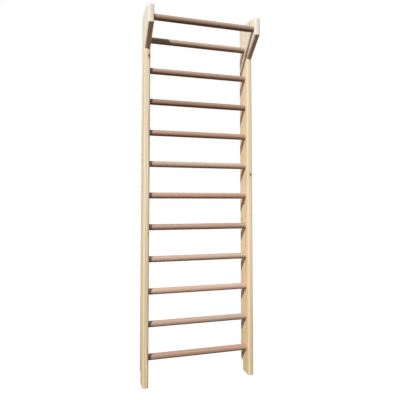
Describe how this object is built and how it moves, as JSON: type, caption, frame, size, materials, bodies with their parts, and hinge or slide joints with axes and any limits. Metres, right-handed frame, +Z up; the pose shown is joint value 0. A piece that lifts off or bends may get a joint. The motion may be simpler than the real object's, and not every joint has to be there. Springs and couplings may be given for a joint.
{
  "type": "wall bars",
  "caption": "Wooden wall bars: tall uprights joined by evenly spaced round rungs, with brackets at the top that carry an overhanging pull-up bar.",
  "frame": {"origin": "on the floor, in the middle of the footprint of the whole object", "axes": "+X along the rungs, to the right for a person facing the wall; +Y towards the wall; +Z up"},
  "size_m": [0.68, 0.252, 2.2039],
  "materials": {
    "pine": "clear satin lacquer on planed pine",
    "beech": "thin satin lacquer on turned beech",
    "beech_dowel": "bare, fluted dowel rod",
    "steel_brad": "bright wire",
    "zinc_insert": "zinc plated"
  },
  "bodies": {
    "root": {"left_upright": "pine", "right_upright": "pine", "left_bracket": "pine", "right_bracket": "pine", "left_bracket_dowels": "beech_dowel", "right_bracket_dowels": "beech_dowel", "rung_01": "beech", "rung_02": "beech", "rung_03": "beech", "rung_04": "beech", "rung_05": "beech", "rung_06": "beech", "rung_07": "beech", "rung_08": "beech", "rung_09": "beech", "rung_10": "beech", "rung_11": "beech", "top_bar": "beech", "left_rung_brads": "steel_brad", "right_rung_brads": "steel_brad", "left_top_bar_brad": "steel_brad", "right_top_bar_brad": "steel_brad", "left_wall_inserts": "zinc_insert", "right_wall_inserts": "zinc_insert"}
  },
  "joints": []
}
